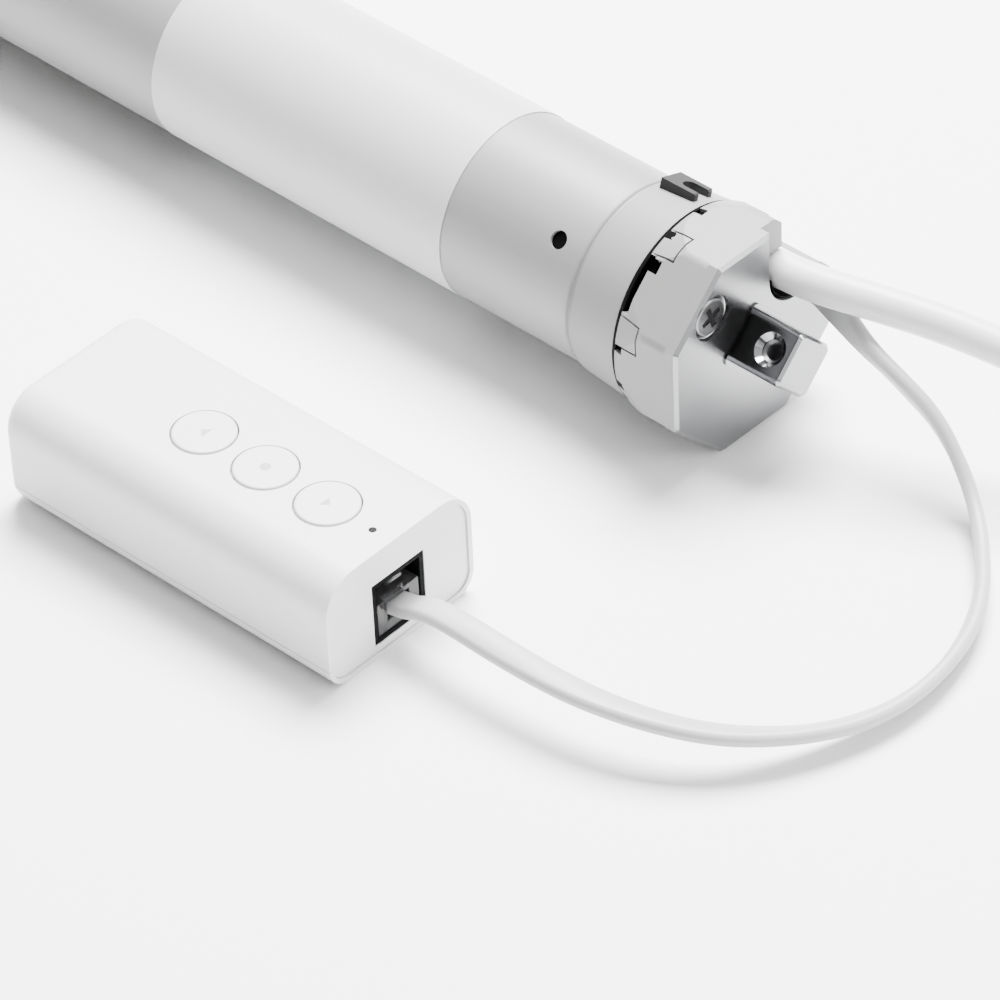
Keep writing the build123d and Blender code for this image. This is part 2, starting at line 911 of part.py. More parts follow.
def slab(bottom, top):
    """All the room of the box between two heights."""
    return block(2 * box_length, 2 * box_width, top - bottom, box_middle_x, box_middle_y, bottom)


def lip_ring(inner, outer, bottom, top):
    """A band round the inside of the walls, behind the end cap."""
    ring = box_bar(cap_back, box_back + outer, outer) - box_bar(cap_back, box_back + inner, inner)
    return ring & slab(bottom, top)


def screw_boss_places():
    x = box_back + screw_boss_from_end
    return [(x, box_middle_y + side * screw_boss_y) for side in (-1, 1)]


def board_boss_places():
    """The four board posts, the rear ones kept clear of the screw posts."""
    rear_limit = box_back + screw_boss_from_end + screw_boss_radius + boss_radius + boss_gap
    rear = max(board_front - board_length + boss_inset, rear_limit)
    side = board_width / 2 - boss_inset
    return [(x, box_middle_y + y) for x in (board_front - boss_inset, rear) for y in (-side, side)]


def post(radius, bottom, top, x, y):
    return Pos(x, y, (bottom + top) / 2) * Cylinder(radius, top - bottom)


def case_bottom():
    """The lower shell: lip, board posts and the two seats of the case screws."""
    shell = case_form() & slab(box_floor, parting)
    shell += lip_ring(box_wall, box_wall - lip_thickness, parting, parting + lip_height)
    floor = box_floor + box_wall
    for x, y in board_boss_places():
        shell += post(boss_radius, floor, board_bottom, x, y)
    for x, y in screw_boss_places():
        shell += post(screw_boss_radius, floor, parting, x, y)
        head_top = box_floor + case_screw_head_height + case_screw_play
        shell -= post(case_screw_head / 2 + case_screw_play, box_floor, head_top, x, y)
        shell -= post(case_screw_shank / 2 + case_screw_play, box_floor, parting, x, y)
    return shell


def case_top():
    """The upper shell with its three button holes, light hole and screw posts."""
    shell = case_form() & slab(parting + parting_gap, box_top)
    play = lip_play
    groove_top = parting + lip_height + play
    shell -= lip_ring(box_wall, box_wall - lip_thickness - play, parting, groove_top)
    for x, y in screw_boss_places():
        shell += post(screw_boss_radius, parting + parting_gap, box_top - box_wall, x, y)
        hole_top = box_floor + case_screw_head_height + case_screw_length + 2 * case_screw_play
        shell -= post(case_screw_shank / 2, parting, hole_top, x, y)
    for x in button_places():
        shell -= post(button_diameter / 2 + button_play, board_top, box_top, x, button_row_y)
    light = light_diameter / 2 + light_play
    return shell - post(light, board_top, box_top, box_front - light_from_front, button_row_y)


def case_screws():
    """Two screws that hold the shells together from below."""
    bottom = box_floor + case_screw_play
    screws = []
    for x, y in screw_boss_places():
        screw = post(case_screw_head / 2, bottom, bottom + case_screw_head_height, x, y)
        top = bottom + case_screw_head_height + case_screw_length
        screws.append(screw + post(case_screw_shank / 2, bottom, top, x, y))
    return screws


def jack_end_cap():
    """The end plate with the opening that the jack reaches through."""
    cap = box_bar(cap_front, cap_back, end_cap_inset + end_cap_play)
    return cap - jack_bar(cap_front, cap_back, jack_play)


def jack_bar(front, back, extra=0.0):
    """A bar of the outline of the jack, grown by extra on each side."""
    width = jack_width + 2 * extra
    height = jack_height + 2 * extra
    return block(front - back, width, height, (front + back) / 2, box_middle_y, jack_bottom - extra)


def jack_socket():
    """The jack under the board, open in front, with its rim in the end cap."""
    back = cap_back - jack_depth
    return jack_bar(jack_front, back) - jack_bar(jack_front, back + jack_wall, -jack_wall)


def contact_blocks():
    """The blades of the plug, side by side in its lower face at the inner end."""
    x = plug_front - plug_length + contact_length / 2
    blades = []
    for i in range(contact_count):
        y = box_middle_y + contact_pitch * (i - (contact_count - 1) / 2)
        blades.append(block(contact_length, contact_width, contact_depth, x, y, plug_floor))
    return blades


def plug_body():
    """The clear plug with its springy latch on top."""
    middle = plug_front - plug_length / 2
    body = block(plug_length, plug_width, plug_height, middle, box_middle_y, plug_floor)
    top = plug_floor + plug_height
    root = plug_front - plug_length
    outline = Polyline(
        (root, box_middle_y, top),
        (root, box_middle_y, top + latch_thickness),
        (root + latch_length, box_middle_y, top + latch_rise),
        (root + latch_length, box_middle_y, top + latch_rise - latch_thickness),
        (root + 2 * latch_thickness, box_middle_y, top),
        close=True,
    )
    body += extrude(make_face(outline), latch_width / 2, both=True, dir=(0, 1, 0))
    for blade in contact_blocks():
        body -= blade
    middle = plug_front - entry_depth / 2
    bottom = entry_middle - entry_height / 2
    return body - block(entry_depth, entry_width, entry_height, middle, box_middle_y, bottom)


def control_board():
    """The board on its four posts, cut out round the screw posts where it reaches them."""
    middle = board_front - board_length / 2
    board = block(board_length, board_width, board_thickness, middle, box_middle_y, board_bottom)
    for x, y in screw_boss_places():
        board -= post(screw_boss_radius + boss_gap, board_bottom, board_top, x, y)
    return board


def button_places():
    return [box_front - button_first - button_pitch * i for i in range(3)]


def tact_switches():
    """Three switches, each with a bore that the stem of its button enters."""
    switches = []
    top = board_top + switch_height
    for x in button_places():
        switch = block(switch_side, switch_side, switch_height, x, button_row_y, board_top)
        bore = button_stem / 2 + switch_bore_play
        switches.append(switch - post(bore, top - switch_bore_depth, top, x, button_row_y))
    return switches


def push_button(number):
    """A round button with a flange below the wall and a stem into its switch."""
    x = button_places()[number]
    y = button_row_y
    top = box_top + button_proud
    flange_top = box_top - box_wall - button_flange_gap
    flange_bottom = flange_top - button_flange_height
    tip = board_top + switch_height - stem_in_switch
    button = post(button_diameter / 2, flange_top, top, x, y)
    button = fillet(button.edges().sort_by(Axis.Z)[-1], button_round)
    button += post(button_diameter / 2 + button_flange, flange_bottom, flange_top, x, y)
    return button + post(button_stem / 2, tip, flange_bottom, x, y)


def status_light():
    return post(light_diameter / 2, board_top, box_top, box_front - light_from_front, button_row_y)


def set_down(shape):
    """Turn a shape of the box to the way that the box lies."""
    pivot = Pos(box_front, box_middle_y, 0)
    return pivot * Rot(Z=box_turn) * pivot.inverse() * shape


def cable_path(points):
    """Straight runs joined by arcs, each as large as its two runs allow."""
    points = [Vector(*p) for p in points]
    radii = []
    for a, b, c in zip(points, points[1:], points[2:]):
        turn = radians((b - a).get_angle(c - b))
        run = min((b - a).length, (c - b).length)
        radii.append(bend_share * run / tan(turn / 2))
    print("bend radii", [round(r, 1) for r in radii])
    return FilletPolyline(*points, radius=radii)


def cable(path, diameter):
    """A round cable swept along a path that starts square to its first face."""
    start = Plane(origin=path @ 0, z_dir=path % 0)
    body = sweep(start * Circle(diameter / 2), path=path)
    share = body.volume / (pi * diameter**2 / 4 * path.length)
    print("cable length", round(path.length, 1), "volume share", round(share, 4))
    return body


def data_cable():
    start = (clamp_front, data_cable_y, data_cable_z)
    ends = (box_front + entry_lead, plug_front - entry_depth)
    entry = [set_down(Pos(x, box_middle_y, entry_middle)).position for x in ends]
    return cable(cable_path([start, *data_route, *entry]), data_cable_diameter)


def coil_start():
    """Where the supply cable joins its coil, lying on the floor and heading along X."""
    x, y, z = power_route[-1]
    return Vector(x + coil_lead, y, box_floor + power_cable_diameter / 2)


def power_cable():
    start = (clamp_front, power_cable_y, power_cable_z)
    return cable(cable_path([start, *power_route, coil_start()]), power_cable_diameter)


def coil_steps():
    """The half turns of the coil as pairs of radius and rise."""
    step = coil_pitch / 2
    inward = [(coil_radius - step * i, 0) for i in range(coil_half_turns)]
    steps = []
    for layer in range(coil_layers):
        steps += inward if layer % 2 == 0 else inward[::-1]
        reversal = coil_radius - step * coil_half_turns if layer % 2 == 0 else coil_radius + step
        if layer < coil_layers - 1:
            steps.append((reversal, coil_pitch))
    return steps


def coil_path():
    """The turns of the coil, with one diameter of straight cable at each end."""
    straight = Vector(power_cable_diameter, 0, 0)
    here = coil_start() + straight
    heading = 1
    curves = [Line(coil_start(), here)]
    for radius, rise in coil_steps():
        side = sqrt(radius**2 + (rise / 2) ** 2)
        middle = here + Vector(heading * side, heading * radius, rise / 2)
        end = here + Vector(0, heading * 2 * radius, rise)
        curves.append(TangentArc(here, middle, tangent=(heading, 0, 0)))
        curves.append(TangentArc(middle, end, tangent=curves[-1] % 1))
        here = end
        heading = -heading
    curves.append(Line(here, here + straight * heading))
    return Wire([curve.edge() for curve in curves])


def coil_gap_found(path):
    """The least gap between two turns, measured on points along the coil."""
    count = 900
    points = [path @ (i / count) for i in range(count + 1)]
    apart = int(count * pi * coil_radius / path.length)
    least = min((a - b).length for i, a in enumerate(points) for b in points[i + apart :])
    return least - power_cable_diameter


def power_cable_coil():
    path = coil_path()
    print("coil gap", round(coil_gap_found(path), 3))
    return cable(path, power_cable_diameter)


def power_cable_wires():
    """The three bare-ended wires past the end of the sheath."""
    path = coil_path()
    end = Plane(origin=path @ 1, z_dir=path % 1)
    wires = []
    for i in range(3):
        angle = 2 * pi / 3 * i
        spot = Pos(wire_spread * cos(angle), wire_spread * sin(angle))
        wire = extrude(end * spot * Circle(wire_diameter / 2), wire_length)
        tip = end * Pos(0, 0, wire_length) * spot * Circle(ferrule_diameter / 2)
        wires.append(wire + extrude(tip, ferrule_length))
    return wires


def motor_pieces():
    """Every node of the motor and its cables, by name."""
    nodes = {
        "face_plate": face_plate(),
        "square_stub": square_stub(),
        "plate_screws": plate_screws(),
        "head_housing": head_housing(),
        "cable_clamp": cable_clamp(),
        "crown_ring": crown_ring(),
        "crown_key": crown_key(),
        "encoder_magnets": encoder_magnets(),
        "encoder_board": encoder_board(),
        "motor_tube": motor_tube(),
        "tube_label": tube_label(),
        "tube_pins": tube_pins(),
        "electronics_sleeve": electronics_sleeve(),
        "driver_board": driver_board(),
        "run_capacitor": run_capacitor(),
        "brake_coil": brake_coil(),
        "brake_armature": brake_armature(),
        "brake_disc": brake_disc(),
        "rear_end_shield": end_shield(rear_shield, rear_bearing_front()),
        "front_end_shield": end_shield(front_shield, front_shield),
        "rear_bearing": bearing(rear_bearing_front()),
        "front_bearing": bearing(front_shield),
        "stator_core": stator_core(),
        "stator_windings": stator_windings(),
        "rotor_core": rotor_core(),
        "rotor_shaft": rotor_shaft(),
        "sun_gear": sun_gear(),
        "first_carrier": first_carrier(),
        "gearbox_housing": gearbox_housing(),
        "output_carrier": output_carrier(),
        "output_bush": output_bush(),
        "drive_wheel": drive_wheel(),
        "wheel_clip": wheel_clip(),
        "data_cable": data_cable(),
        "power_cable": power_cable(),
        "power_cable_coil": power_cable_coil(),
        "power_cable_wires": power_cable_wires(),
    }
    for stage in (0, 1):
        for number in range(planet_count):
            nodes[f"planet_gear_{stage + 1}{'abc'[number]}"] = planet_gear(stage, number)
    return nodes


def box_pieces():
    """Every node of the control box and its plug, by name, before the box is turned."""
    nodes = {
        "case_bottom": case_bottom(),
        "case_top": case_top(),
        "case_screws": case_screws(),
        "jack_end_cap": jack_end_cap(),
        "jack_socket": jack_socket(),
        "control_board": control_board(),
        "tact_switches": tact_switches(),
        "status_light": status_light(),
        "plug_body": plug_body(),
        "plug_contacts": contact_blocks(),
    }
    for number, name in enumerate(("up", "stop", "down")):
        nodes[f"button_{name}"] = push_button(number)
    return nodes


def place_in_row(shape):
    """Move a shape so that the object stands centred on the origin."""
    turn = radians(box_turn)
    length = box_length - box_end_radius
    side = box_width / 2 - box_end_radius
    box_edge = box_middle_y - length * sin(turn) - side * cos(turn) - box_end_radius
    middle_x = (stub_reach + shaft_tip) / 2
    middle_y = (box_edge + axis_height) / 2
    return Pos(-middle_x, -middle_y, axis_height) * shape


def whole(shape):
    """All solids of a node as one shape."""
    parts = shape if isinstance(shape, list) else [shape]
    return Compound([solid for part in parts for solid in part.solids()])


os.makedirs("parts", exist_ok=True)
nodes = {name: whole(shape) for name, shape in motor_pieces().items()}
nodes.update((name, set_down(whole(shape))) for name, shape in box_pieces().items())
for name, shape in nodes.items():
    export_step(place_in_row(shape), f"parts/{name}.step")
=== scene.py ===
# %% [markdown]
# # A roller shade motor and its control box
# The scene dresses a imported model. Every solid is already in place and in metres, so this
# script adds the camera, the light, the finishes, the two cables and the small details.
# Lengths that the script adds are in millimetres from the middle of the head's face plate,
# because that is where a fitter would hold a ruler.

# %% Load the frame
from math import cos, pi, radians, sin

import bmesh
import bpy
from mathutils import Matrix, Vector


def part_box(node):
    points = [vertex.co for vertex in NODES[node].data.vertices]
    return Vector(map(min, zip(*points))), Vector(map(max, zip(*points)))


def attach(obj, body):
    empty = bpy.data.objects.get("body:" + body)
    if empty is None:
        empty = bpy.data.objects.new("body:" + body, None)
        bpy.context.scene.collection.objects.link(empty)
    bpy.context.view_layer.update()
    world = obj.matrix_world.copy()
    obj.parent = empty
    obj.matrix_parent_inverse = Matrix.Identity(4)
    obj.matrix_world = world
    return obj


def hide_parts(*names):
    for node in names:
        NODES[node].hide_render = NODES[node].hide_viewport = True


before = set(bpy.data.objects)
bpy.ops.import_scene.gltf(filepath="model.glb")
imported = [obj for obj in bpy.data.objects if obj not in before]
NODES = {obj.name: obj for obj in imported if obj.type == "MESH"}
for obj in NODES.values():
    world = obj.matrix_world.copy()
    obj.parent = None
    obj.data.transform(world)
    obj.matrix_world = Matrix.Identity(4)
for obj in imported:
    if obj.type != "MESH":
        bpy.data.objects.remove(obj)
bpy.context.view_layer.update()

HOME_BODY = "motor_and_box"
print("parts loaded:", len(NODES))

# %% [markdown]
# The origin of the model lies on the floor under the middle of everything. The details are
# easier to place from the head, so one function turns head millimetres into scene metres.

# %% Places measured from the head
MM = 0.001
plate_low, plate_high = (Vector(corner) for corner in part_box("face_plate"))
HEAD = Vector((plate_high.x, (plate_low.y + plate_high.y) / 2, (plate_low.z + plate_high.z) / 2))


def from_head(x, y, z):
    """A point given in millimetres from the middle of the head's face."""
    return HEAD + Vector((x, y, z)) * MM


print("head face at", [round(value, 4) for value in HEAD])

# %% [markdown]
# The photograph was taken with a long lens from high in front, a little rolled. A long lens
# keeps the tube's two edges nearly parallel. The turn of the camera is built from three
# simple turns: round the vertical, up to the elevation, and the small roll about the view.

# %% Camera
CAMERA_AZIMUTH = 45.14
CAMERA_ELEVATION = 40.47
CAMERA_ROLL = -2.79
CAMERA_PLACE = (502.3, -561.5, 609.3)
CAMERA_LENS = 208.8


def turned_camera():
    """The long-lens camera that matches the photograph's view."""
    camera = bpy.data.objects.new("camera", bpy.data.cameras.new("camera"))
    bpy.context.scene.collection.objects.link(camera)
    camera.data.lens = CAMERA_LENS
    camera.data.clip_start = 0.05
    camera.data.clip_end = 20.0
    turn = (
        Matrix.Rotation(radians(CAMERA_AZIMUTH), 4, "Z")
        @ Matrix.Rotation(radians(90 - CAMERA_ELEVATION), 4, "X")
        @ Matrix.Rotation(radians(CAMERA_ROLL), 4, "Z")
    )
    camera.matrix_world = Matrix.Translation(from_head(*CAMERA_PLACE)) @ turn
    return camera


bpy.context.scene.camera = turned_camera()
print("camera lens:", CAMERA_LENS)

# %% [markdown]
# Shader maths reads best as plain arithmetic. This small class wraps the output of a node,
# and each operator adds the Math node that does the sum.

# %% Arithmetic on sockets
class Value:
    """The output of a shader node, which can be added, multiplied and so on."""

    def __init__(self, tree, socket):
        self.tree = tree
        self.socket = socket

    def maths(self, operation, *operands):
        """Adds a Math node and returns what it gives."""
        node = self.tree.nodes.new("ShaderNodeMath")
        node.operation = operation
        for slot, operand in zip(node.inputs, operands):
            plug_in(self.tree, slot, operand)
        return Value(self.tree, node.outputs[0])

    def __add__(self, other):
        return self.maths("ADD", self, other)

    def __radd__(self, other):
        return self.maths("ADD", other, self)

    def __sub__(self, other):
        return self.maths("SUBTRACT", self, other)

    def __mul__(self, other):
        return self.maths("MULTIPLY", self, other)


def plug_in(tree, slot, value):
    """Links a Value to a socket, or sets a plain number or colour on it."""
    if isinstance(value, Value):
        tree.links.new(value.socket, slot)
    else:
        slot.default_value = value


# %% [markdown]
# A finish is a material under construction. Its `node` method adds any kind of node, with settings
# first and sockets after, and `surface` sets the shader itself. Numbers that stay the same all over
# are set straight on the shader.

# %% A finish
class Finish:
    """A material whose nodes are added one call at a time."""

    def __init__(self, name):
        self.material = bpy.data.materials.new(name)
        self.material.use_nodes = True
        self.tree = self.material.node_tree
        self.shader = self.tree.nodes["Principled BSDF"]

    def node(self, kind, settings=None, sockets=None, output=0):
        """Adds a node and returns one of its outputs."""
        node = self.tree.nodes.new("ShaderNode" + kind)
        for name, setting in (settings or {}).items():
            setattr(node, name, setting)
        for name, value in (sockets or {}).items():
            slot = next(s for s in node.inputs if s.name == name and s.enabled)
            plug_in(self.tree, slot, value)
        outputs = [s for s in node.outputs if s.enabled]
        return Value(self.tree, outputs[output])

    def surface(self, sockets):
        """Sets the shader's sockets and returns the finished material."""
        for name, value in sockets.items():
            plug_in(self.tree, self.shader.inputs[name], value)
        return self.material


def set_stops(ramp, stops):
    """Gives a colour ramp its grey stops, as pairs of place and value."""
    while len(ramp.elements) < len(stops):
        ramp.elements.new(0.5)
    for element, (place, value) in zip(ramp.elements, stops):
        element.position = place
        element.color = (value, value, value, 1.0)


# %% [markdown]
# Real surfaces are never even. Most finishes here share three helpers: a noise measured in
# metres on the object, a colour that drifts a little with such a noise, and a bump.

# %% Helpers that most finishes share
def place_on_part(finish):
    """Object coordinates, which are metres in the scene's own frame for every solid."""
    return finish.node("TexCoord", output=3)


def speckle(finish, size_mm, detail=2.0, stretch=None):
    """Noise whose blotches are about that many millimetres across."""
    where = place_on_part(finish)
    if stretch:
        where = finish.node("Mapping", sockets={"Vector": where, "Scale": stretch})
    sockets = {"Vector": where, "Scale": 1000.0 / size_mm, "Detail": detail}
    return finish.node("TexNoise", sockets=sockets)


def drifting_colour(finish, colour, amount, noise):
    """The colour, made a little lighter and darker by a noise."""
    light = [min(1.0, channel * (1 + amount)) for channel in colour] + [1.0]
    dark = [channel * (1 - amount) for channel in colour] + [1.0]
    sockets = {"Factor": noise, "A": dark, "B": light}
    return finish.node("Mix", {"data_type": "RGBA"}, sockets)


def bump(finish, height, depth_mm, strength=1.0):
    """A bump of that depth from a height between 0 and 1."""
    sockets = {"Height": height, "Distance": depth_mm * MM, "Strength": strength}
    return finish.node("Bump", sockets=sockets)


# %% [markdown]
# Moulded plastic has a fine spark-eroded grain, soft highlights and hardly any colour of
# its own. The grain size and depth tell a hard white case from a grey head.

# %% Moulded plastics
def moulded(name, colour, roughness, grain_mm=0.25, grain_depth=0.012, drift=0.02, gloss=0.45):
    """Plastic with a fine grain in its surface and a slow drift in its colour."""
    finish = Finish(name)
    grain = speckle(finish, grain_mm, detail=3.0)
    cloud = speckle(finish, 14.0)
    return finish.surface(
        {
            "Base Color": drifting_colour(finish, colour, drift, cloud),
            "Roughness": roughness + (cloud - 0.5) * 0.08,
            "Specular IOR Level": gloss,
            "Normal": bump(finish, grain, grain_depth),
        }
    )


HEAD_GREY = (0.225, 0.225, 0.223)
CASE_WHITE = (0.70, 0.70, 0.705)
head_plastic = moulded("head_plastic", HEAD_GREY, 0.48, grain_mm=0.3)
case_plastic = moulded("case_plastic", CASE_WHITE, 0.36, grain_mm=0.22, grain_depth=0.006)
button_plastic = moulded("button_plastic", (0.68, 0.68, 0.685), 0.34, grain_mm=0.22, grain_depth=0.005)
key_plastic = moulded("key_plastic", (0.022, 0.022, 0.023), 0.55, gloss=0.25)
# Near-black plastic for the real black parts, and also for the pieces that paint shade in gaps,
# notches and the recess.
black_plastic = moulded("black_plastic", (0.003, 0.003, 0.0033), 0.6, gloss=0.03)
wheel_plastic = moulded("wheel_plastic", (0.44, 0.44, 0.435), 0.5, grain_mm=0.35)
gear_plastic = moulded("gear_plastic", (0.72, 0.69, 0.60), 0.4)
sleeve_plastic = moulded("sleeve_plastic", (0.70, 0.67, 0.56), 0.55)
sign_ink = moulded("sign_ink", (0.37, 0.37, 0.38), 0.5, grain_depth=0.002)
# Near-black finish for the plates that paint the shade at the bottom of the screw crosses.
crevice_shade = moulded(
    "crevice_shade", (0.008, 0.008, 0.0085), 0.7, grain_mm=0.15, grain_depth=0.02, drift=0.2, gloss=0.1
)
lens_plastic = moulded("lens_plastic", (0.004, 0.004, 0.0045), 0.5, grain_depth=0.002, gloss=0.1)
print("plastics mixed")

# %% [markdown]
# The tube is steel with a thin satin paint. Rolled paint shows a very fine orange peel, and
# faint streaks along the tube where it was drawn.

# %% Paint of the tube
def satin_paint():
    """Thin paint with orange peel and with streaks along the tube."""
    finish = Finish("satin_paint")
    streaks = speckle(finish, 2.0, stretch=(0.04, 1.0, 1.0))
    peel = speckle(finish, 0.9, detail=1.0)
    return finish.surface(
        {
            "Base Color": drifting_colour(finish, (0.26, 0.26, 0.259), 0.03, streaks),
            "Roughness": 0.40 + streaks * 0.08,
            "Metallic": 0.15,
            "Normal": bump(finish, peel, 0.01),
        }
    )


tube_paint = satin_paint()
print("tube paint mixed")

# %% [markdown]
# The label is a white film. It is left bare, with the faint silky waviness that a laminated
# film has once it is rubbed down on a tube.

# %% Film of the label
def label_film():
    """White film with a slow wave and fine fibres."""
    finish = Finish("label_film")
    wave = speckle(finish, 9.0, detail=1.0)
    fibre = speckle(finish, 0.35, detail=2.0)
    return finish.surface(
        {
            "Base Color": drifting_colour(finish, (0.52, 0.52, 0.53), 0.015, wave),
            "Roughness": 0.42 + (fibre - 0.5) * 0.1,
            "Normal": bump(finish, wave, 0.02, strength=0.6),
        }
    )


film = label_film()
print("label film mixed")

# %% [markdown]
# The metals differ in how they were worked. The face plate is zinc with a soft polish, the
# stub is ground bar, and the hidden parts are turned or pressed steel. The sides of the stub
# mirror less and less of the dark surroundings towards its tip, as slightly hollow sides do.
# The mesh stays flat there: a shallow bump along the stub is enough to turn the reflection.

# %% Metals
def worked_metal(name, colour, roughness, stretch, scratch_mm, depth):
    """Metal with fine scratches along the long side of the stretch."""
    finish = Finish(name)
    scratches = speckle(finish, scratch_mm, detail=3.0, stretch=stretch)
    cloud = speckle(finish, 6.0)
    return finish.surface(
        {
            "Base Color": drifting_colour(finish, colour, 0.05, cloud),
            "Metallic": 1.0,
            "Roughness": roughness + scratches * 0.08 + (cloud - 0.5) * 0.05,
            "Normal": bump(finish, scratches, depth),
        }
    )


EVEN = (1.0, 1.0, 1.0)
ALONG_X = (0.05, 1.0, 1.0)
plate_metal = worked_metal("plate_metal", (0.25, 0.253, 0.26), 0.20, EVEN, 0.5, 0.002)
screw_metal = worked_metal("screw_metal", (0.20, 0.20, 0.203), 0.25, EVEN, 0.4, 0.003)
core_metal = worked_metal("core_metal", (0.20, 0.20, 0.205), 0.5, ALONG_X, 0.6, 0.01)
turned_metal = worked_metal("turned_metal", (0.42, 0.42, 0.425), 0.3, EVEN, 0.4, 0.004)
bore_metal = worked_metal("bore_metal", (0.16, 0.16, 0.165), 0.35, EVEN, 0.4, 0.004)
alloy = worked_metal("alloy", (0.62, 0.62, 0.63), 0.35, EVEN, 0.5, 0.004)


STUB_REACH = 11.0
HOLLOW_END = 0.94


def ground_bar():
    """Metal of the stub, with a bump that steepens towards its tip."""
    finish = Finish("stub_metal")
    scratches = speckle(finish, 0.25, detail=3.0, stretch=ALONG_X)
    along = finish.node("SeparateXYZ", sockets={"Vector": place_on_part(finish)})
    share = (along - HEAD.x) * (1.0 / (STUB_REACH * MM))
    way = share.maths("MINIMUM", share, HOLLOW_END)
    hollow = way * way * way + scratches * 0.002
    return finish.surface(
        {
            "Base Color": drifting_colour(finish, (0.24, 0.243, 0.25), 0.05, scratches),
            "Metallic": 1.0,
            "Roughness": 0.10 + scratches * 0.08,
            "Normal": bump(finish, hollow, 1.5),
        }
    )


stub_metal = ground_bar()
copper = worked_metal("copper", (0.62, 0.24, 0.10), 0.3, (1.0, 0.2, 0.2), 0.4, 0.02)
gold = worked_metal("gold", (0.83, 0.58, 0.20), 0.2, EVEN, 0.2, 0.001)
print("metals worked")

# %% [markdown]
# Both cables have a soft vinyl jacket: white, a little glossy, with a faint draw texture from the
# extruder. The flat cable's jacket is set much darker than the round one's, a painted shade for the
# low light along it.

# %% Cable jackets
def vinyl(name, colour, roughness):
    """Soft jacket that lets a little light in."""
    finish = Finish(name)
    draw = speckle(finish, 1.2, detail=2.0)
    return finish.surface(
        {
            "Base Color": drifting_colour(finish, colour, 0.015, draw),
            "Roughness": roughness + (draw - 0.5) * 0.1,
            "Subsurface Weight": 0.05,
            "Subsurface Radius": (0.002, 0.002, 0.002),
            "Normal": bump(finish, draw, 0.008),
        }
    )


cable_vinyl = vinyl("cable_vinyl", (0.68, 0.68, 0.68), 0.38)
# Darker than the round cable's white: painted shade on the flat cable.
flat_vinyl_painted_shade = vinyl("flat_vinyl_painted_shade", (0.42, 0.42, 0.425), 0.42)
print("jackets mixed")

# %% [markdown]
# The plug is moulded in clear polycarbonate. Glass-like transmission with a little
# roughness shows the dark jack behind it, as the real one does.

# %% Clear plug and circuit boards
def clear_polycarbonate():
    """Clear plastic with faint flow marks."""
    finish = Finish("clear_polycarbonate")
    flow = speckle(finish, 3.0)
    return finish.surface(
        {
            "Base Color": (0.86, 0.87, 0.88, 1.0),
            "Transmission Weight": 0.97,
            "Specular IOR Level": 0.3,
            "IOR": 1.35,
            "Roughness": 0.04 + flow * 0.05,
            "Normal": bump(finish, flow, 0.02),
        }
    )


def fibre_board():
    """Green solder mask over a woven board."""
    finish = Finish("fibre_board")
    where = place_on_part(finish)
    weave = finish.node("TexWave", {"wave_type": "BANDS"}, {"Vector": where, "Scale": 900.0})
    return finish.surface(
        {
            "Base Color": drifting_colour(finish, (0.012, 0.13, 0.05), 0.12, weave),
            "Roughness": 0.3 + weave * 0.05,
            "Coat Weight": 0.4,
            "Normal": bump(finish, weave, 0.004),
        }
    )


clear_plastic = clear_polycarbonate()
board_mask = fibre_board()
print("clear plastic and board mask mixed")

# %% [markdown]
# Each solid keeps its own mesh and only gets a finish in its slot. A table from finish to
# the names of the solids is enough for that.

# %% Dress the solids
FINISH_OF = {
    "face_plate": plate_metal,
    "square_stub": stub_metal,
    "plate_screws": screw_metal,
    "head_housing": head_plastic,
    # The clamp's black also paints the shade at the bottom of the recess, under the supply cable.
    "cable_clamp": black_plastic,
    "crown_ring": head_plastic,
    "crown_key": key_plastic,
    "encoder_magnets": core_metal,
    "encoder_board": board_mask,
    "motor_tube": tube_paint,
    "tube_label": film,
    "tube_pins": black_plastic,
    "electronics_sleeve": sleeve_plastic,
    "driver_board": board_mask,
    "run_capacitor": alloy,
    "brake_coil": turned_metal,
    "brake_armature": turned_metal,
    "brake_disc": black_plastic,
    "rear_end_shield": alloy,
    "front_end_shield": alloy,
    "rear_bearing": turned_metal,
    "front_bearing": turned_metal,
    "stator_core": core_metal,
    "stator_windings": copper,
    "rotor_core": core_metal,
    "rotor_shaft": turned_metal,
    "sun_gear": turned_metal,
    "first_carrier": turned_metal,
    "gearbox_housing": turned_metal,
    "output_carrier": turned_metal,
    "output_bush": turned_metal,
    "drive_wheel": wheel_plastic,
    "wheel_clip": screw_metal,
    "case_bottom": case_plastic,
    "case_top": case_plastic,
    "case_screws": screw_metal,
    "jack_end_cap": case_plastic,
    "jack_socket": black_plastic,
    "control_board": board_mask,
    "tact_switches": black_plastic,
    "status_light": lens_plastic,
    "plug_body": clear_plastic,
    "plug_contacts": gold,
    "power_cable_wires": cable_vinyl,
    "button_up": button_plastic,
    "button_stop": button_plastic,
    "button_down": button_plastic,
}
for stage in "12":
    for letter in "abc":
        FINISH_OF[f"planet_gear_{stage}{letter}"] = gear_plastic


def dress(node, material):
    """Puts the finish in every slot of a solid."""
    mesh = NODES[node].data
    mesh.materials.clear()
    mesh.materials.append(material)


for node_name, material in FINISH_OF.items():
    dress(node_name, material)
print("finishes given:", len(FINISH_OF))

# %% [markdown]
# The supply cable leaves the recess level, sags to the floor beside the motor and is put away in a
# neat round coil. The route's points were chosen one by one, and the coil's turns are half circles
# worked out by a loop: two layers wind inwards and two outwards, as a cable is coiled by hand.

